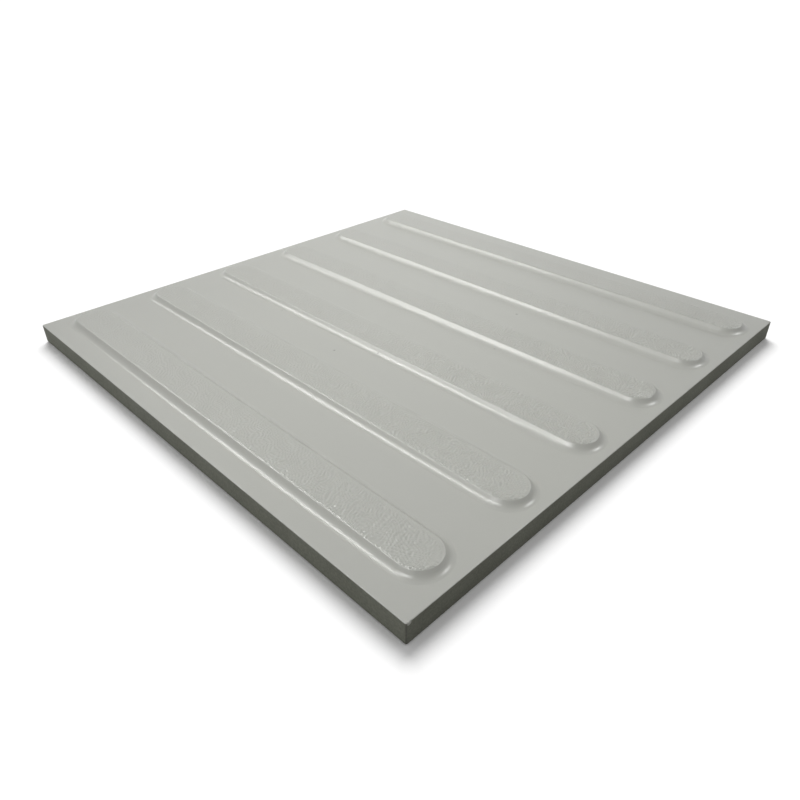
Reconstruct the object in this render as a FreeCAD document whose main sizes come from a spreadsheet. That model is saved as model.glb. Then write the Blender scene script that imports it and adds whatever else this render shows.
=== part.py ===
import FreeCAD, Part
import math
import os
import Sketcher
from FreeCAD import Vector

# Directional tactile paving slab, pressed and fired as one piece.
# +Z up, origin at the middle of the underside, bars along X, millimetres.

doc = FreeCAD.newDocument("tactile_slab")

# Driving sizes
sheet = doc.addObject("Spreadsheet::Sheet", "Sizes")
sizes = [
    ("side", 298.0, "side of the square slab"),
    ("joint", 2.0, "grout joint that makes up the laying module"),
    ("plate", 10.7, "thickness of the plate between the bars"),
    ("corner", 0.8, "radius of the upright corners"),
    ("arris", 0.4, "radius of the upper edges"),
    ("under_arris", 0.5, "chamfer of the lower edges"),
    ("bar_pitch", 50.0, "distance between neighbouring bars"),
    ("bar_top", 19.0, "width of a bar's flat top"),
    ("bar_height", 2.8, "height of a bar above the plate"),
    ("end_margin", 8.2, "from a bar's top end to the slab's edge"),
    ("flank_deg", 48.0, "slope of a bar's flank from level"),
    ("foot_radius", 4.5, "hollow curve from flank to plate"),
    ("top_radius", 0.5, "rounding of a bar's top edge"),
    ("foot_runout", 0.03, "depth to which the hollow curve runs out"),
    ("bar_root", 1.2, "how far a bar's section reaches into the plate"),
    ("key_cell", 25.0, "side of one keying recess in the back"),
    ("key_rib", 3.0, "rib between keying recesses"),
    ("key_depth", 0.7, "depth of a keying recess"),
    ("key_margin", 8.0, "least plain border round the keying grid"),
]
for row, (alias, value, note) in enumerate(sizes, start=1):
    sheet.set(f"A{row}", note)
    sheet.set(f"B{row}", str(value))
    sheet.setAlias(f"B{row}", alias)
doc.recompute()
size = {alias: float(sheet.get(alias)) for alias, _, _ in sizes}

# Counts and places that follow from the driving sizes
BARS = "floor((Sizes.side + Sizes.joint) / Sizes.bar_pitch + 0.001)"
FIRST_BAR = f"-({BARS} - 1) * Sizes.bar_pitch / 2"
RUN = "(Sizes.side - 2 * Sizes.end_margin - Sizes.bar_top)"
KEY_PITCH = "(Sizes.key_cell + Sizes.key_rib)"
KEYS = f"floor((Sizes.side - 2 * Sizes.key_margin + Sizes.key_rib) / {KEY_PITCH} + 0.001)"
FIRST_KEY = f"-({KEYS} - 1) * {KEY_PITCH} / 2"

body = doc.addObject("PartDesign::Body", "Slab")
body.Label = "tactile_slab"


def origin(role):
    for item in body.Origin.OriginFeatures:
        if item.Role == role:
            return item
    raise ValueError(role)


def sketch_on(name, role):
    sketch = body.newObject("Sketcher::SketchObject", name)
    sketch.AttachmentSupport = [(origin(role), "")]
    sketch.MapMode = "FlatFace"
    return sketch


def dimension(sketch, name, constraint, expression):
    index = sketch.addConstraint(constraint)
    sketch.renameConstraint(index, name)
    sketch.setExpression(f"Constraints.{name}", expression)


def rectangle(sketch, half):
    # A square about the sketch's origin: four lines, joined and level
    corners = [Vector(-half, -half), Vector(half, -half), Vector(half, half), Vector(-half, half)]
    for index in range(4):
        sketch.addGeometry(Part.LineSegment(corners[index], corners[(index + 1) % 4]))
    for index in range(4):
        sketch.addConstraint(Sketcher.Constraint("Coincident", index, 2, (index + 1) % 4, 1))
    for index in range(4):
        kind = "Horizontal" if index % 2 == 0 else "Vertical"
        sketch.addConstraint(Sketcher.Constraint(kind, index))
    sketch.addConstraint(Sketcher.Constraint("Symmetric", 0, 1, 2, 1, -1, 1))


def edges_where(shape, test):
    return [f"Edge{index}" for index, edge in enumerate(shape.Edges, start=1) if test(edge)]


# Plate: a square pad with eased corners and edges
outline = sketch_on("PlateOutline", "XY_Plane")
rectangle(outline, size["side"] / 2)
dimension(outline, "width", Sketcher.Constraint("DistanceX", 0, 1, 0, 2, size["side"]), "Sizes.side")
dimension(outline, "depth", Sketcher.Constraint("DistanceY", 1, 1, 1, 2, size["side"]), "Sizes.side")
plate = body.newObject("PartDesign::Pad", "Plate")
plate.Profile = outline
plate.setExpression("Length", "Sizes.plate")
doc.recompute()

upright = edges_where(plate.Shape, lambda e: e.BoundBox.ZLength > size["plate"] / 2)
corners = body.newObject("PartDesign::Fillet", "Corners")
corners.Base = (plate, upright)
corners.setExpression("Radius", "Sizes.corner")
doc.recompute()

upper = edges_where(corners.Shape, lambda e: e.BoundBox.ZMin > size["plate"] - 0.01)
arris = body.newObject("PartDesign::Fillet", "UpperArris")
arris.Base = (corners, upper)
arris.setExpression("Radius", "Sizes.arris")
doc.recompute()

lower = edges_where(arris.Shape, lambda e: e.BoundBox.ZMax < 0.01)
under = body.newObject("PartDesign::Chamfer", "LowerArris")
under.Base = (arris, lower)
under.setExpression("Size", "Sizes.under_arris")
doc.recompute()


def half_section(sketch, sign, first):
    # Half of a bar's section from its middle line outwards, on the side given by sign.
    # Zero is at the plate's upper face: flat top, rounded edge, flank, hollow foot and root.
    slope = math.radians(size["flank_deg"])
    half = size["bar_top"] / 2
    top = size["bar_height"]
    low = -size["foot_runout"]
    foot = size["foot_radius"]
    edge = size["top_radius"]
    root = -size["bar_root"]
    reach = foot * math.tan(slope / 2)
    nip = edge * math.tan(slope / 2)
    heel = half + (top - low) / math.tan(slope)
    p_top = Vector(sign * (half - nip), top)
    p_edge = Vector(sign * (half + nip * math.cos(slope)), top - nip * math.sin(slope))
    p_flank = Vector(sign * (heel - reach * math.cos(slope)), low + reach * math.sin(slope))
    p_foot = Vector(sign * (heel + reach), low)
    p_root = Vector(sign * (heel + reach), root)
    edge_mid = p_top + Vector(sign * edge * math.sin(slope / 2), edge * (math.cos(slope / 2) - 1))
    foot_mid = p_foot + Vector(-sign * foot * math.sin(slope / 2), foot * (1 - math.cos(slope / 2)))
    rounded = sketch.addGeometry(Part.Arc(p_top, edge_mid, p_edge))
    flank = sketch.addGeometry(Part.LineSegment(p_edge, p_flank))
    hollow = sketch.addGeometry(Part.Arc(p_flank, foot_mid, p_foot))
    wall = sketch.addGeometry(Part.LineSegment(p_foot, p_root))
    crest = sketch.addGeometry(Part.Point(Vector(sign * half, top)))
    sketch.toggleConstruction(crest)

    # An arc runs anticlockwise, so its start and end swap with the side
    start = 2 if sign > 0 else 1
    end = 1 if sign > 0 else 2
    hollow_start = 1 if sign > 0 else 2
    hollow_end = 2 if sign > 0 else 1
    near = Sketcher.Constraint
    sketch.addConstraint(near("Tangent", rounded, end, flank, 1))
    sketch.addConstraint(near("Tangent", flank, 2, hollow, hollow_start))
    sketch.addConstraint(near("Vertical", hollow, 3, hollow, hollow_end))
    sketch.addConstraint(near("Coincident", hollow, hollow_end, wall, 1))
    sketch.addConstraint(near("Vertical", wall))
    sketch.addConstraint(near("Vertical", rounded, 3, rounded, start))
    sketch.addConstraint(near("PointOnObject", crest, 1, flank))
    sketch.addConstraint(near("Horizontal", crest, 1, rounded, start))
    name = first
    if sign > 0:
        across = near("DistanceX", -1, 1, crest, 1, half)
    else:
        across = near("DistanceX", crest, 1, -1, 1, half)
    dimension(sketch, f"{name}_half_top", across, "Sizes.bar_top / 2")
    dimension(sketch, f"{name}_height", near("DistanceY", -1, 1, crest, 1, top), "Sizes.bar_height")
    dimension(sketch, f"{name}_edge", near("Radius", rounded, edge), "Sizes.top_radius")
    dimension(sketch, f"{name}_foot", near("Radius", hollow, foot), "Sizes.foot_radius")
    dimension(sketch, f"{name}_runout", near("DistanceY", hollow, hollow_end, -1, 1, -low), "Sizes.foot_runout")
    dimension(sketch, f"{name}_root", near("DistanceY", wall, 2, -1, 1, -root), "Sizes.bar_root")
    rise = p_edge - p_flank
    lean = math.atan2(rise.y, rise.x)
    turn = "Sizes.flank_deg" if sign < 0 else "180 - Sizes.flank_deg"
    dimension(sketch, f"{name}_slope", near("Angle", -1, 1, flank, 2, lean), turn)
    return rounded, start, wall


# A bar's section, drawn at one end of its straight run and carried along it
section = sketch_on("BarSection", "YZ_Plane")
section.setExpression("AttachmentOffset.Base.x", FIRST_BAR)
section.setExpression("AttachmentOffset.Base.y", "Sizes.plate")
section.setExpression("AttachmentOffset.Base.z", f"-{RUN} / 2")
right = half_section(section, 1, "right")
left = half_section(section, -1, "left")
flat = section.addGeometry(Part.LineSegment(Vector(-9, 3), Vector(9, 3)))
section.addConstraint(Sketcher.Constraint("Coincident", flat, 1, left[0], left[1]))
section.addConstraint(Sketcher.Constraint("Coincident", flat, 2, right[0], right[1]))
bottom = section.addGeometry(Part.LineSegment(Vector(-13, -1.5), Vector(13, -1.5)))
section.addConstraint(Sketcher.Constraint("Coincident", bottom, 1, left[2], 2))
section.addConstraint(Sketcher.Constraint("Coincident", bottom, 2, right[2], 2))
run = body.newObject("PartDesign::Pad", "BarRun")
run.Profile = section
run.setExpression("Length", RUN)
doc.recompute()


def bar_end(name, place, reverse):
    # The half section turned half round an upright axis at the end of the straight run
    sketch = sketch_on(f"{name}Section", "YZ_Plane")
    sketch.setExpression("AttachmentOffset.Base.x", FIRST_BAR)
    sketch.setExpression("AttachmentOffset.Base.y", "Sizes.plate")
    sketch.setExpression("AttachmentOffset.Base.z", place)
    side = half_section(sketch, 1, "end")
    top = size["bar_height"]
    root = -size["bar_root"]
    flat = sketch.addGeometry(Part.LineSegment(Vector(0, top), Vector(9, top)))
    sketch.addConstraint(Sketcher.Constraint("Coincident", flat, 2, side[0], side[1]))
    sketch.addConstraint(Sketcher.Constraint("Horizontal", flat))
    axis = sketch.addGeometry(Part.LineSegment(Vector(0, root), Vector(0, top)))
    sketch.addConstraint(Sketcher.Constraint("Coincident", axis, 2, flat, 1))
    sketch.addConstraint(Sketcher.Constraint("PointOnObject", axis, 1, -2))
    sketch.addConstraint(Sketcher.Constraint("PointOnObject", axis, 2, -2))
    bottom = sketch.addGeometry(Part.LineSegment(Vector(0, root), Vector(13, root)))
    sketch.addConstraint(Sketcher.Constraint("Coincident", bottom, 1, axis, 1))
    sketch.addConstraint(Sketcher.Constraint("Coincident", bottom, 2, side[2], 2))
    sketch.addConstraint(Sketcher.Constraint("Horizontal", bottom))
    turned = body.newObject("PartDesign::Revolution", name)
    turned.Profile = sketch
    turned.ReferenceAxis = (sketch, ["V_Axis"])
    turned.Angle = 180
    turned.Reversed = reverse
    doc.recompute()
    return turned


far_end = bar_end("BarEndA", f"-{RUN} / 2", False)
near_end = bar_end("BarEndB", f"{RUN} / 2", True)

# The bars, side by side across the slab
bars = body.newObject("PartDesign::LinearPattern", "Bars")
bars.Originals = [run, far_end, near_end]
bars.Direction = (origin("Y_Axis"), [""])
bars.setExpression("Occurrences", BARS)
bars.setExpression("Length", f"({BARS} - 1) * Sizes.bar_pitch")
body.Tip = bars
doc.recompute()

# Keying grid in the back: square recesses between ribs, inside a plain border
cell = sketch_on("KeyCell", "XY_Plane")
cell.setExpression("AttachmentOffset.Base.x", FIRST_KEY)
cell.setExpression("AttachmentOffset.Base.y", FIRST_KEY)
rectangle(cell, size["key_cell"] / 2)
dimension(cell, "cell_x", Sketcher.Constraint("DistanceX", 0, 1, 0, 2, size["key_cell"]), "Sizes.key_cell")
dimension(cell, "cell_y", Sketcher.Constraint("DistanceY", 1, 1, 1, 2, size["key_cell"]), "Sizes.key_cell")
key = body.newObject("PartDesign::Pocket", "Key")
key.Profile = cell
key.Reversed = True
key.setExpression("Length", "Sizes.key_depth")
doc.recompute()
if key.Shape.Volume > bars.Shape.Volume - 0.5 * size["key_depth"] * size["key_cell"] ** 2:
    raise RuntimeError("the keying recess cuts nothing")

grid = body.newObject("PartDesign::MultiTransform", "Keys")
grid.Originals = [key]
lines = []
for name, role in (("KeysAlong", "X_Axis"), ("KeysAcross", "Y_Axis")):
    line = body.newObject("PartDesign::LinearPattern", name)
    line.Direction = (origin(role), [""])
    line.setExpression("Occurrences", KEYS)
    line.setExpression("Length", f"({KEYS} - 1) * {KEY_PITCH}")
    lines.append(line)
grid.Transformations = lines
body.Tip = grid
doc.recompute()

# Nothing is written unless every object is sound
for item in doc.Objects:
    if "Invalid" in item.State or "Error" in item.State:
        raise RuntimeError(f"{item.Name} failed: {item.State}")
shape = body.Shape
if shape.isNull() or not shape.isValid() or len(shape.Solids) != 1:
    raise RuntimeError("the slab is not one sound solid")
os.makedirs("parts", exist_ok=True)
shape.exportStep(os.path.join("parts", f"{body.Label}.step"))
box = shape.optimalBoundingBox()
print(f"{body.Label}: {box.XLength:.2f} x {box.YLength:.2f} x {box.ZLength:.2f} mm, {shape.Volume / 1000:.1f} cm3")
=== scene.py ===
"""Dresses the tactile slab: a satin face, raw pressed edges and back, and a pebbled tread on every bar."""
import math

import bmesh
import bpy
from mathutils import Euler, Matrix, Vector


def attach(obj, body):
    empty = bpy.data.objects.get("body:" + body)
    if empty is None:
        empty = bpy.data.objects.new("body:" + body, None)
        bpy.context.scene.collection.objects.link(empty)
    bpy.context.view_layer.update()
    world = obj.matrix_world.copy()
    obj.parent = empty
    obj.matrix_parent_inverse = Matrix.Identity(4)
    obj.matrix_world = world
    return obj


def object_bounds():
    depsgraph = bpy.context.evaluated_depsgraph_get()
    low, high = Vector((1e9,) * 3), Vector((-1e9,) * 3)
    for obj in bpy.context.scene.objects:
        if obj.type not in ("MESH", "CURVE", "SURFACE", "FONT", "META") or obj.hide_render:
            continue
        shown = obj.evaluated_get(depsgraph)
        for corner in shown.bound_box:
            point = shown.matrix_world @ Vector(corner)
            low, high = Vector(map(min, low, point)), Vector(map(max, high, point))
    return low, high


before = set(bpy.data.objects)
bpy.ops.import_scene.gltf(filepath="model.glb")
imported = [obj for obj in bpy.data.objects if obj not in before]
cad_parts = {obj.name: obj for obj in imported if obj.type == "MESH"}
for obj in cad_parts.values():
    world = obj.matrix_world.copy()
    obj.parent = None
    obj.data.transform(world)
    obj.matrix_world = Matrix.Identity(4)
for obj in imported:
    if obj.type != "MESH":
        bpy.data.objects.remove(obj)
cad_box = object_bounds()
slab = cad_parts["tactile_slab"]

# Sizes of the slab in metres: its reach from the frame, the rest as its source has them
MM = 0.001
HALF_SIDE = cad_box[1][0]
BAR_HEIGHT = cad_box[1][2]
BAR_RISE = 2.8 * MM
FACE_HEIGHT = BAR_HEIGHT - BAR_RISE
JOINT = 2.0 * MM
BAR_COUNT = 6
BAR_PITCH = (2 * HALF_SIDE + JOINT) / BAR_COUNT
END_MARGIN = 8.2 * MM
TREAD_HALF = 9.5 * MM
TREAD_RUN = 2 * (HALF_SIDE - END_MARGIN - TREAD_HALF)

# Grain of the treads; the pebbles' height is given bar by bar from the -Y side
PEBBLE_RISES = (0.27 * MM, 0.36 * MM, 0.36 * MM, 0.33 * MM, 0.28 * MM, 0.22 * MM)
PEBBLE_SIZE = 1.5 * MM
BEAD_RISE = 0.37 * MM
WORN_SHARE = 0.45
CROWN = 0.02 * MM
SKIN_LIFT = 0.02 * MM
MESH_STEP = 0.27 * MM

# Rows of ridges that make the pebbles: direction in degrees and share of the height
RIDGE_ROWS = ((8.0, 1.0), (64.0, 0.9), (128.0, 0.8))
RIDGE_BEND = 4.5
BENDS_PER_RIDGE = 0.20
CREST_SPAN = 2.0

# Rim of a tread: its dip into the bar and the width it climbs over, on the near side and on the far side
RIM_DIP = 0.10 * MM
FAR_RIM_DIP = 0.05 * MM
RIM_WIDTH = 0.65 * MM
FAR_RIM_WIDTH = 3.00 * MM

# Where a tread changes: shares of its half width, of its half run for wear, of its rim's width for beads
FAR_SIDE = 0.9
BEAD_FADE = 0.7
CROWN_WIDTH = 0.6
WEAR_START = -0.3
BEAD_REACH = 2.5

# Finishes: linear colours, then roughness from the glossiest patch to the dullest
FACE_TINT = (0.436, 0.441, 0.405, 1.0)
# The edges' tint is painted shade: a much darker copy of the face's clay for the edges and the back
EDGE_SHADE_TINT = (0.149, 0.154, 0.120, 1.0)
SPECK_TINT = (0.075, 0.070, 0.060, 1.0)
CHIP_TINT = (0.600, 0.600, 0.545, 1.0)
# Painted shade for the hollows between the pebbles
VALLEY_SHADE_TINT = (0.300, 0.300, 0.270, 1.0)
FACE_SATIN = (0.297, 0.301)
TREAD_SATIN = (0.297, 0.303)
RAW_CLAY = (0.75, 0.90)
CLAY_IOR = 1.55

# Depths below the face over which satin turns to raw clay and the edges' painted shade sets in, and the same
# inwards from the dark upright corners
SATIN_AND_SHADE_FADE = (0.12 * MM, 0.40 * MM)
CORNER_FADE = (0.2 * MM, 0.6 * MM)
CORNER_DARK = 0.7

# Painted shade between the pebbles: how high it reaches and its strength; then the roughness rubbed off tops
VALLEY_SHADE_TOP = 0.6
VALLEY_SHADE = 0.10
RUBBED_GLOSS = 0.02

# Stray iron specks on the face: plan place in millimetres, half-width in millimetres, depth of colour
SPECKS = [
    (-4.5, -49.5, 0.95, 0.50),
    (15.8, -36.3, 0.80, 0.45),
    (38.8, 54.5, 1.10, 0.45),
    (-65.0, -39.5, 0.80, 0.25),
    (56.0, 12.0, 0.80, 0.25),
]

# A small chip in the right-hand edge at the near corner
CHIP_PLACE = (HALF_SIDE, -HALF_SIDE + 1.5 * MM, FACE_HEIGHT - 0.6 * MM)
CHIP_CORE = 0.6 * MM
CHIP_REACH = 1.2 * MM
CHIP_DEPTH = 0.2 * MM
CHIP_BARE = 0.9

# Stage: distances in metres, levels of white, the camera's turn in radians and its lens in millimetres
WINDOW_REACH = 4.0
SKY_REACH = 2.0
FLOOR_REACH = 20.0
FLOOR_GAP = 0.05 * MM
FLOOR_BOUNCE = 0.12
SKY_LEVEL = 0.36
CAMERA_PLACE = (0.247983, -0.247875, 0.187428)
CAMERA_TURN = (0.990712, 0.007685, 0.790085)
CAMERA_LENS = 30.38


# Helpers for building node trees

def feed(tree, socket, value):
    """A socket takes a link from another socket, or a plain value."""
    if isinstance(value, bpy.types.NodeSocket):
        tree.links.new(value, socket)
    else:
        socket.default_value = value


def add(tree, kind, inputs=None, **settings):
    """A node of this kind with its settings, then its inputs."""
    made = tree.nodes.new(kind)
    for name, value in settings.items():
        setattr(made, name, value)
    for key, value in (inputs or {}).items():
        feed(tree, made.inputs[key], value)
    return made


def calc(tree, operation, first, second=0.0, third=0.0):
    return add(tree, "ShaderNodeMath", {0: first, 1: second, 2: third}, operation=operation).outputs[0]


def ramp(tree, value, low, high, to_low=0.0, to_high=1.0):
    """Eased step of a value from low to high."""
    inputs = {"Value": value, "From Min": low, "From Max": high, "To Min": to_low, "To Max": to_high}
    return add(tree, "ShaderNodeMapRange", inputs, interpolation_type="SMOOTHSTEP").outputs[0]


def blend(tree, amount, first, second, mode="MIX"):
    inputs = {0: amount, 6: first, 7: second}
    return add(tree, "ShaderNodeMix", inputs, data_type="RGBA", blend_type=mode).outputs[2]


def mix_values(tree, amount, first, second):
    return add(tree, "ShaderNodeMix", {0: amount, 2: first, 3: second}, data_type="FLOAT").outputs[0]


def vector_calc(tree, operation, first, second=(0.0, 0.0, 0.0)):
    return add(tree, "ShaderNodeVectorMath", {0: first, 1: second}, operation=operation).outputs


def parts_of(tree, vector):
    """The X, Y and Z of a vector."""
    return add(tree, "ShaderNodeSeparateXYZ", {0: vector}).outputs


def noise(tree, place, size, detail, rough, offset=(0.0, 0.0, 0.0)):
    """Noise whose features are about this size on the slab."""
    spot = add(tree, "ShaderNodeMapping", {0: place, "Location": offset, "Scale": (1 / size,) * 3}).outputs[0]
    inputs = {"Vector": spot, "Scale": 1.0, "Detail": detail, "Roughness": rough}
    return add(tree, "ShaderNodeTexNoise", inputs).outputs[0]


def shader_group(name, inputs, outputs):
    """An empty shader group with named sockets, its input node and its output node."""
    group = bpy.data.node_groups.new(name, "ShaderNodeTree")
    for label, kind, value in inputs:
        socket = group.interface.new_socket(name=label, in_out="INPUT", socket_type="NodeSocket" + kind)
        if value is not None:
            socket.default_value = value
    for label, kind in outputs:
        group.interface.new_socket(name=label, in_out="OUTPUT", socket_type="NodeSocket" + kind)
    return group, group.nodes.new("NodeGroupInput").outputs, group.nodes.new("NodeGroupOutput").inputs


def use(tree, group, **inputs):
    """Places a group in a tree and feeds its named inputs."""
    made = add(tree, "ShaderNodeGroup", node_tree=group)
    for name, value in inputs.items():
        feed(tree, made.inputs[name.replace("_", " ").capitalize()], value)
    return made.outputs


# Effects that both finishes share

def fired_clay_group():
    """Clouds and fine flecks that firing leaves in the clay's colour."""
    inputs = [
        ("Place", "Vector", None),
        ("Tint", "Color", FACE_TINT),
        ("Cloud depth", "Float", 0.03),
        ("Fleck depth", "Float", 0.04),
    ]
    tree, given, out = shader_group("Fired clay", inputs, [("Colour", "Color")])
    clouds = noise(tree, given["Place"], 60 * MM, 3.0, 0.55)
    flecks = noise(tree, given["Place"], 0.9 * MM, 3.0, 0.6, (7.3, 2.1, 5.9))
    cloud = calc(tree, "MULTIPLY", calc(tree, "SUBTRACT", clouds, 0.5), given["Cloud depth"])
    fleck = calc(tree, "MULTIPLY", calc(tree, "SUBTRACT", flecks, 0.5), given["Fleck depth"])
    level = calc(tree, "ADD", calc(tree, "ADD", cloud, fleck), 1.0)
    shade = add(tree, "ShaderNodeCombineXYZ", {0: level, 1: level, 2: level}).outputs[0]
    feed(tree, out["Colour"], blend(tree, 1.0, given["Tint"], shade, "MULTIPLY"))
    return tree


def satin_bloom_group():
    """Uneven satin: patches that fired a little glossier or duller."""
    inputs = [("Place", "Vector", None), ("Glossy", "Float", 0.2), ("Dull", "Float", 0.3)]
    tree, given, out = shader_group("Satin bloom", inputs, [("Roughness", "Float")])
    patches = noise(tree, given["Place"], 22 * MM, 4.0, 0.6, (3.1, 8.7, 1.3))
    feed(tree, out["Roughness"], ramp(tree, patches, 0.3, 0.7, given["Glossy"], given["Dull"]))
    return tree


def pressed_skin_group():
    """Height of the faint unevenness that pressing leaves in a face, in metres."""
    inputs = [("Place", "Vector", None), ("Wave", "Float", 0.010 * MM), ("Tooth", "Float", 0.004 * MM)]
    tree, given, out = shader_group("Pressed skin", inputs, [("Height", "Float")])
    waves = noise(tree, given["Place"], 5.0 * MM, 2.0, 0.5, (1.7, 4.9, 6.1))
    teeth = noise(tree, given["Place"], 0.6 * MM, 3.0, 0.6, (9.1, 0.7, 2.3))
    high = calc(tree, "MULTIPLY", waves, given["Wave"])
    feed(tree, out["Height"], calc(tree, "MULTIPLY_ADD", teeth, given["Tooth"], high))
    return tree


fired_clay = fired_clay_group()
satin_bloom = satin_bloom_group()
pressed_skin = pressed_skin_group()


# Finishes

def new_finish(name):
    """A material, its tree, its Principled shader, and the place on the slab."""
    finish = bpy.data.materials.new(name)
    finish.use_nodes = True
    tree = finish.node_tree
    shader = tree.nodes["Principled BSDF"]
    shader.inputs["IOR"].default_value = CLAY_IOR
    place = tree.nodes.new("ShaderNodeTexCoord").outputs["Object"]
    return finish, tree, shader, place


def near_point(tree, place, point, inner, outer):
    """Mask that is 1 within inner of a point and fades out at outer."""
    gap = vector_calc(tree, "DISTANCE", place, point)["Value"]
    return ramp(tree, gap, inner, outer, 1.0, 0.0)


def satin(tree, place, span):
    """Roughness that wanders over the slab between the two ends of a span."""
    return use(tree, satin_bloom, place=place, glossy=span[0], dull=span[1])["Roughness"]


def bump(tree, shader, height):
    """Relief on a shader from a height in metres."""
    made = add(tree, "ShaderNodeBump", {"Height": height, "Strength": 1.0, "Distance": 1.0})
    feed(tree, shader.inputs["Normal"], made.outputs[0])


def slab_finish():
    """Satin face with a few specks, and dull clay on the pressed edges and the back, where a much darker tint
    is painted shade.
    """
    finish, tree, shader, place = new_finish("stoneware_slab")
    height = parts_of(tree, place)[2]
    on_face = ramp(tree, height, FACE_HEIGHT - SATIN_AND_SHADE_FADE[1], FACE_HEIGHT - SATIN_AND_SHADE_FADE[0])
    face = use(tree, fired_clay, place=place, tint=FACE_TINT, cloud_depth=0.01, fleck_depth=0.02)["Colour"]
    # Painted shade: the pressed edges and the back get the face's clay tinted much darker
    edge = use(tree, fired_clay, place=place, tint=EDGE_SHADE_TINT, cloud_depth=0.20, fleck_depth=1.00)["Colour"]
    colour = blend(tree, on_face, edge, face)
    flat = vector_calc(tree, "MULTIPLY", place, (1.0, 1.0, 0.0))[0]
    for x, y, half, depth in SPECKS:
        mask = near_point(tree, flat, (x * MM, y * MM, 0.0), 0.2 * half * MM, half * MM)
        mask = calc(tree, "MULTIPLY", calc(tree, "MULTIPLY", mask, on_face), depth)
        colour = blend(tree, mask, colour, SPECK_TINT)
    # The upright corners of the edge are darker
    reach = parts_of(tree, vector_calc(tree, "ABSOLUTE", flat)[0])
    nearer = calc(tree, "MINIMUM", reach[0], reach[1])
    corner = ramp(tree, nearer, HALF_SIDE - CORNER_FADE[1], HALF_SIDE - CORNER_FADE[0])
    dark = calc(tree, "MULTIPLY", corner, calc(tree, "SUBTRACT", 1.0, on_face))
    colour = blend(tree, calc(tree, "MULTIPLY", dark, CORNER_DARK), colour, SPECK_TINT)
    # The chip shows pale clay, below the face alone
    chip = near_point(tree, place, CHIP_PLACE, CHIP_CORE, CHIP_REACH)
    bare = calc(tree, "MULTIPLY", chip, calc(tree, "SUBTRACT", CHIP_BARE, on_face))
    colour = blend(tree, calc(tree, "MAXIMUM", bare, 0.0), colour, CHIP_TINT)
    feed(tree, shader.inputs["Base Color"], colour)
    roughness = mix_values(tree, on_face, satin(tree, place, RAW_CLAY), satin(tree, place, FACE_SATIN))
    feed(tree, shader.inputs["Roughness"], roughness)
    smooth = use(tree, pressed_skin, place=place, wave=0.003 * MM, tooth=0.002 * MM)["Height"]
    toothed = use(tree, pressed_skin, place=place, wave=0.03 * MM, tooth=0.06 * MM)["Height"]
    relief = mix_values(tree, on_face, toothed, smooth)
    bump(tree, shader, calc(tree, "MULTIPLY_ADD", chip, -CHIP_DEPTH, relief))
    return finish


def tread_finish():
    """The same clay over the pebbles, with painted shade down between them, glossier on their rubbed tops."""
    finish, tree, shader, place = new_finish("stoneware_tread")
    rise = add(tree, "ShaderNodeAttribute", attribute_name="rise").outputs["Fac"]
    clay = use(tree, fired_clay, place=place, tint=FACE_TINT, cloud_depth=0.05, fleck_depth=0.06)["Colour"]
    # Painted shade: the clay is darkened down between the pebbles, up to a share of their height
    valley_shaded = blend(tree, ramp(tree, rise, 0.0, VALLEY_SHADE_TOP, VALLEY_SHADE, 0.0), clay, VALLEY_SHADE_TINT)
    feed(tree, shader.inputs["Base Color"], valley_shaded)
    rubbed = calc(tree, "MULTIPLY_ADD", rise, -RUBBED_GLOSS, satin(tree, place, TREAD_SATIN))
    feed(tree, shader.inputs["Roughness"], rubbed)
    skin = use(tree, pressed_skin, place=place, wave=0.004 * MM, tooth=0.010 * MM)["Height"]
    bump(tree, shader, skin)
    return finish


slab.material_slots[0].material = slab_finish()
tread_material = tread_finish()


# Pebbled tread on the bars

def half_round_ends(tree, x, y, run, half):
    """Draws a sheet's square ends in to half rounds: places along and across it, and inset from its rim."""
    far = calc(tree, "ABSOLUTE", x)
    u = calc(tree, "DIVIDE", calc(tree, "MAXIMUM", calc(tree, "SUBTRACT", far, run), 0.0), half)
    v = calc(tree, "DIVIDE", y, half)
    bow_u = calc(tree, "SQRT", calc(tree, "MULTIPLY_ADD", calc(tree, "MULTIPLY", v, v), -0.5, 1.0))
    bow_v = calc(tree, "SQRT", calc(tree, "MULTIPLY_ADD", calc(tree, "MULTIPLY", u, u), -0.5, 1.0))
    end = calc(tree, "MULTIPLY", calc(tree, "MULTIPLY", u, bow_u), half)
    reach = calc(tree, "ADD", calc(tree, "MINIMUM", far, run), end)
    along = calc(tree, "MULTIPLY", reach, calc(tree, "SIGN", x))
    off = calc(tree, "MULTIPLY", calc(tree, "MULTIPLY", v, bow_v), half)
    radius = calc(tree, "SQRT", calc(tree, "MULTIPLY_ADD", end, end, calc(tree, "MULTIPLY", off, off)))
    inset = calc(tree, "MAXIMUM", calc(tree, "SUBTRACT", half, radius), 0.0)
    return along, off, inset


def pebble_rows(tree, plan, size):
    """Rows of ridges, each bent in its own way, that meet as pebbles and short worms between 0 and 1."""
    count = calc(tree, "DIVIDE", 1.0, size)
    bends = calc(tree, "MULTIPLY", count, BENDS_PER_RIDGE)
    crest = 0.0
    for turn, share in RIDGE_ROWS:
        apart = vector_calc(tree, "ADD", plan, (turn * MM, 2 * turn * MM, 0.0))[0]
        drift = add(tree, "ShaderNodeTexNoise", {"Vector": apart, "Scale": bends, "Detail": 0.0}).outputs[0]
        bend = calc(tree, "MULTIPLY", calc(tree, "SUBTRACT", drift, 0.5), RIDGE_BEND)
        across = (math.cos(math.radians(turn)), math.sin(math.radians(turn)), 0.0)
        along = vector_calc(tree, "DOT_PRODUCT", plan, across)["Value"]
        turns = calc(tree, "MULTIPLY_ADD", along, count, bend)
        row = calc(tree, "COSINE", calc(tree, "MULTIPLY", turns, 2 * math.pi))
        crest = calc(tree, "MULTIPLY_ADD", row, share, crest)
    return ramp(tree, crest, -CREST_SPAN, CREST_SPAN)


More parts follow.
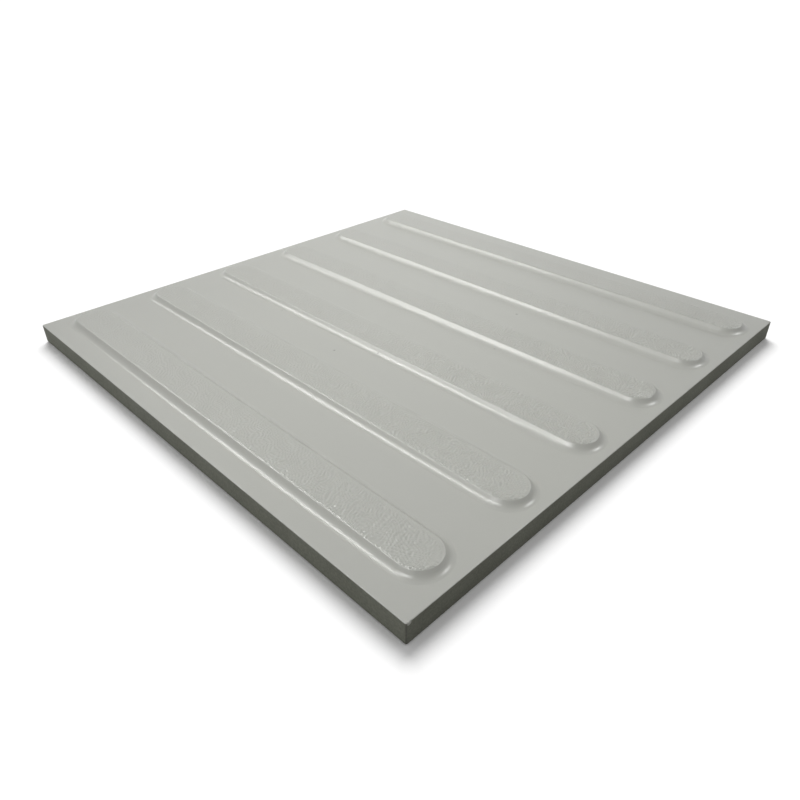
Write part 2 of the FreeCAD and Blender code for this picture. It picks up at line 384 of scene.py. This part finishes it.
def tread_tree():
    """A long half-round-ended sheet of small pebbles whose rim dips into the bar that carries it."""
    tree = bpy.data.node_groups.new("Pebbled tread", "GeometryNodeTree")
    sizes = (
        "Run", "Half width", "Centre", "Top", "Step", "Relief", "Worn", "Pebble",
        "Sink", "Far sink", "Rim", "Far rim", "Bead", "Crown", "Seed",
    )
    for name in sizes:
        tree.interface.new_socket(name=name, in_out="INPUT", socket_type="NodeSocketFloat")
    tree.interface.new_socket(name="Finish", in_out="INPUT", socket_type="NodeSocketMaterial")
    tree.interface.new_socket(name="Tread", in_out="OUTPUT", socket_type="NodeSocketGeometry")
    given = tree.nodes.new("NodeGroupInput").outputs
    half = given["Half width"]
    run = calc(tree, "MULTIPLY", given["Run"], 0.5)
    long_side = calc(tree, "MULTIPLY_ADD", half, 2.0, given["Run"])
    short_side = calc(tree, "MULTIPLY", half, 2.0)
    sheet = add(tree, "GeometryNodeMeshGrid", {
        "Size X": long_side,
        "Size Y": short_side,
        "Vertices X": calc(tree, "DIVIDE", long_side, given["Step"]),
        "Vertices Y": calc(tree, "DIVIDE", short_side, given["Step"]),
    })
    spot = parts_of(tree, tree.nodes.new("GeometryNodeInputPosition").outputs[0])
    px, off, inset = half_round_ends(tree, spot[0], spot[1], run, half)
    py = calc(tree, "ADD", off, given["Centre"])
    plan = add(tree, "ShaderNodeCombineXYZ", {0: px, 1: py, 2: given["Seed"]}).outputs[0]
    pebble = pebble_rows(tree, plan, given["Pebble"])
    # The rim climbs out of the bar, slower on the far side, and its near pebbles stand proud as beads
    aside = calc(tree, "DIVIDE", off, half)
    side = ramp(tree, aside, 0.0, FAR_SIDE, given["Rim"], given["Far rim"])
    climb = ramp(tree, inset, 0.0, side)
    proud = ramp(tree, aside, -BEAD_FADE, BEAD_FADE, given["Bead"], 1.0)
    bead = ramp(tree, inset, side, calc(tree, "MULTIPLY", side, BEAD_REACH), proud, 1.0)
    sink = ramp(tree, aside, 0.0, FAR_SIDE, given["Sink"], given["Far sink"])
    # Feet have worn the pebbles lower towards -X
    worn = ramp(tree, px, calc(tree, "MULTIPLY", run, WEAR_START), run, given["Worn"], 1.0)
    rise = calc(tree, "MULTIPLY", calc(tree, "MULTIPLY", climb, bead), calc(tree, "MULTIPLY", pebble, worn))
    swell = ramp(tree, inset, 0.0, calc(tree, "MULTIPLY", half, CROWN_WIDTH))
    crown = calc(tree, "MULTIPLY", swell, given["Crown"])
    base = calc(tree, "MULTIPLY_ADD", climb, SKIN_LIFT, crown)
    lift = calc(tree, "MULTIPLY_ADD", rise, given["Relief"], base)
    dip = calc(tree, "MULTIPLY", calc(tree, "SUBTRACT", 1.0, climb), sink)
    pz = calc(tree, "ADD", given["Top"], calc(tree, "SUBTRACT", lift, dip))
    place = add(tree, "ShaderNodeCombineXYZ", {0: px, 1: py, 2: pz}).outputs[0]
    kept = {"Geometry": sheet.outputs["Mesh"], "Name": "rise", "Value": rise}
    named = add(tree, "GeometryNodeStoreNamedAttribute", kept, data_type="FLOAT", domain="POINT")
    laid = add(tree, "GeometryNodeSetPosition", {"Geometry": named.outputs[0], "Position": place})
    soft = add(tree, "GeometryNodeSetShadeSmooth", {"Geometry": laid.outputs[0], "Shade Smooth": True})
    real = add(tree, "GeometryNodeRealizeInstances", {0: soft.outputs[0]})
    coated = add(tree, "GeometryNodeSetMaterial", {"Geometry": real.outputs[0], "Material": given["Finish"]})
    feed(tree, tree.nodes.new("NodeGroupOutput").inputs["Tread"], coated.outputs[0])
    return tree


def close_underside(mesh):
    """Closes the rim with a flat face, which lies hidden inside the bar."""
    work = bmesh.new()
    work.from_mesh(mesh)
    rim = [edge for edge in work.edges if edge.is_boundary]
    floor_faces = bmesh.ops.holes_fill(work, edges=rim, sides=0)["faces"]
    if floor_faces[0].normal.z > 0:
        bmesh.ops.reverse_faces(work, faces=floor_faces)
    for face in floor_faces:
        face.smooth = False
    bmesh.ops.triangulate(work, faces=floor_faces)
    work.to_mesh(mesh)
    work.free()


def make_tread(tree, name, values):
    """One bar's tread as a plain mesh, from the tree with these values."""
    draft = bpy.data.objects.new(name + "_draft", bpy.data.meshes.new(name + "_draft"))
    bpy.context.scene.collection.objects.link(draft)
    modifier = draft.modifiers.new("Pebbled tread", "NODES")
    modifier.node_group = tree
    for socket in tree.interface.items_tree:
        if socket.in_out == "INPUT":
            modifier[socket.identifier] = values[socket.name]
    seen = draft.evaluated_get(bpy.context.evaluated_depsgraph_get())
    mesh = bpy.data.meshes.new_from_object(seen)
    mesh.name = name
    draft.modifiers.clear()
    bpy.data.objects.remove(draft)
    close_underside(mesh)
    tread = bpy.data.objects.new(name, mesh)
    bpy.context.scene.collection.objects.link(tread)
    return tread


pebbles = tread_tree()
for number, pebble_rise in enumerate(PEBBLE_RISES):
    tread = make_tread(pebbles, "tread_%d" % (number + 1), {
        "Run": TREAD_RUN,
        "Half width": TREAD_HALF,
        "Centre": (number - (BAR_COUNT - 1) / 2) * BAR_PITCH,
        "Top": BAR_HEIGHT,
        "Step": MESH_STEP,
        "Relief": pebble_rise,
        "Worn": WORN_SHARE,
        "Pebble": PEBBLE_SIZE,
        "Sink": RIM_DIP,
        "Far sink": FAR_RIM_DIP,
        "Rim": RIM_WIDTH,
        "Far rim": FAR_RIM_WIDTH,
        "Bead": BEAD_RISE / pebble_rise,
        "Crown": CROWN,
        "Seed": 0.0,
        "Finish": tread_material,
    })
    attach(tread, "root")


# Floor, light and camera

def light_path_mask(tree):
    """1 for what the camera sees, straight or mirrored or through glass."""
    rays = tree.nodes.new("ShaderNodeLightPath").outputs
    seen = calc(tree, "MAXIMUM", rays["Is Camera Ray"], rays["Is Glossy Ray"])
    return calc(tree, "MAXIMUM", seen, rays["Is Transmission Ray"])


def lay_floor():
    """White sweep that takes the shadow, and gives little light back to the slab's edges."""
    mesh = bpy.data.meshes.new("floor")
    ways = [(-1, -1), (1, -1), (1, 1), (-1, 1)]
    corners = [(x * FLOOR_REACH, y * FLOOR_REACH, -FLOOR_GAP) for x, y in ways]
    mesh.from_pydata(corners, [], [(0, 1, 2, 3)])
    floor = bpy.data.objects.new("floor", mesh)
    bpy.context.scene.collection.objects.link(floor)
    paper = bpy.data.materials.new("white_paper")
    paper.use_nodes = True
    tree = paper.node_tree
    tree.nodes.remove(tree.nodes["Principled BSDF"])
    white = add(tree, "ShaderNodeBsdfDiffuse", {"Color": (1.0, 1.0, 1.0, 1.0)}).outputs[0]
    grey = add(tree, "ShaderNodeBsdfDiffuse", {"Color": (FLOOR_BOUNCE,) * 3 + (1.0,)}).outputs[0]
    mixed = add(tree, "ShaderNodeMixShader", {0: light_path_mask(tree), 1: grey, 2: white}).outputs[0]
    feed(tree, tree.nodes["Material Output"].inputs["Surface"], mixed)
    mesh.materials.append(paper)
    return floor


def toward(azimuth, elevation):
    """Unit vector to a place in the sky; azimuth is counted from +X towards +Y, in degrees."""
    az, el = math.radians(azimuth), math.radians(elevation)
    return Vector((math.cos(el) * math.cos(az), math.cos(el) * math.sin(az), math.sin(el)))


def hang_lamp(name, kind, place):
    """A lamp that looks at the middle of the slab and that the camera doesn't see."""
    lamp = bpy.data.objects.new(name, bpy.data.lights.new(name, kind))
    lamp.location = place
    lamp.rotation_euler = Vector(place).to_track_quat("Z", "Y").to_euler()
    lamp.visible_camera = False
    bpy.context.scene.collection.objects.link(lamp)
    return lamp


def make_panel(lamp, length, depth, glow):
    """Turns a lamp into an even panel of this size and brightness."""
    lamp.data.shape = "RECTANGLE"
    lamp.data.size = length
    lamp.data.size_y = depth
    lamp.data.energy = glow * math.pi * length * depth


def hang_window(name, azimuth, elevation, tilt, wide, tall, glow):
    """A far panel that shows only as a reflection; tilt and size are in degrees, as the slab sees them."""
    facing = toward(azimuth, elevation)
    level = Vector((0.0, 0.0, 1.0)).cross(facing).normalized()
    lean = math.radians(tilt)
    along = level * math.cos(lean) + facing.cross(level) * math.sin(lean)
    lamp = hang_lamp(name, "AREA", facing * WINDOW_REACH)
    lamp.rotation_euler = Matrix((along, facing.cross(along), facing)).transposed().to_euler()
    length, depth = [2 * WINDOW_REACH * math.tan(math.radians(size) / 2) for size in (wide, tall)]
    make_panel(lamp, length, depth, glow)
    lamp.visible_diffuse = False
    return lamp


def hang_panel(name, middle, turn, lean, slope, length, depth, glow):
    """A near panel that shows only as a reflection: turned on plan, leaned over, sloped along its length."""
    plan, over, along = math.radians(turn), math.radians(lean), math.radians(slope)
    length_way = Vector((math.cos(plan) * math.cos(along), math.sin(plan) * math.cos(along), math.sin(along)))
    level = Vector((-math.sin(plan), math.cos(plan), 0.0))
    depth_way = level * math.cos(over) + length_way.cross(level) * math.sin(over)
    lamp = hang_lamp(name, "AREA", middle)
    ways = Matrix((length_way, depth_way, length_way.cross(depth_way)))
    lamp.rotation_euler = ways.transposed().to_euler()
    make_panel(lamp, length, depth, glow)
    lamp.visible_diffuse = False
    return lamp


def hang_strip(name, middle, turn, length, depth, glow):
    """A strip close above the slab, which it lights from straight above without showing in its gloss."""
    lamp = hang_lamp(name, "AREA", middle)
    lamp.rotation_euler = Euler((0.0, 0.0, math.radians(turn)))
    make_panel(lamp, length, depth, glow)
    lamp.visible_glossy = False
    return lamp


def hang_sky(name, azimuth, elevation, spread, level):
    """An even light from a wide disc of sky; level is how bright it makes a white sheet that faces it."""
    lamp = hang_lamp(name, "SUN", toward(azimuth, elevation) * SKY_REACH)
    lamp.data.energy = level * math.pi
    lamp.data.angle = math.radians(spread)
    lamp.visible_glossy = False
    return lamp


def link_to_floor(lamps, floor, state):
    """These lamps light the floor alone, or all but the floor."""
    group = bpy.data.collections.new("floor_" + state.lower())
    group.objects.link(floor)
    group.collection_objects[0].light_linking.link_state = state
    for lamp in lamps:
        lamp.light_linking.receiver_collection = group


floor = lay_floor()
slab_lamps = [
    hang_strip("overhead_strip", (-0.055, 0.035, 0.28), turn=-45.0, length=0.62, depth=0.12, glow=2.85),
    hang_sky("left_sky", azimuth=225.0, elevation=42.0, spread=60.0, level=0.20),
    hang_panel("left_strip", (-0.29, -0.14, 0.39), turn=-16.0, lean=17.0, slope=-30.0,
               length=0.85, depth=0.03, glow=18.0),
    hang_panel("left_panel", (-0.32, -0.13, 0.265), turn=-13.0, lean=95.0, slope=-7.0,
               length=0.50, depth=0.20, glow=6.0),
    hang_window("front_window", azimuth=266.0, elevation=47.0, tilt=20.0, wide=26.0, tall=5.0, glow=30.0),
    hang_window("right_window", azimuth=59.0, elevation=47.0, tilt=40.0, wide=16.0, tall=14.0, glow=11.5),
]
link_to_floor(slab_lamps, floor, "EXCLUDE")
floor_lamps = [
    hang_sky("floor_sky", azimuth=141.0, elevation=51.0, spread=36.0, level=0.82),
    hang_sky("floor_fill", azimuth=135.0, elevation=85.0, spread=140.0, level=0.09),
]
link_to_floor(floor_lamps, floor, "INCLUDE")

world = bpy.data.worlds.new("studio")
bpy.context.scene.world = world
world.use_nodes = True
sky = world.node_tree.nodes["Background"]
sky.inputs["Color"].default_value = (1.0, 1.0, 1.0, 1.0)
strength = ramp(world.node_tree, light_path_mask(world.node_tree), 0.0, 1.0, SKY_LEVEL, 1.0)
feed(world.node_tree, sky.inputs["Strength"], strength)

camera = bpy.data.objects.new("camera", bpy.data.cameras.new("camera"))
bpy.context.scene.collection.objects.link(camera)
camera.location = CAMERA_PLACE
camera.rotation_euler = Euler(CAMERA_TURN)
camera.data.sensor_width = 36.0
camera.data.sensor_fit = "HORIZONTAL"
camera.data.lens = CAMERA_LENS
camera.data.clip_start = 0.01
bpy.context.scene.camera = camera
bpy.context.scene.view_settings.view_transform = "Standard"
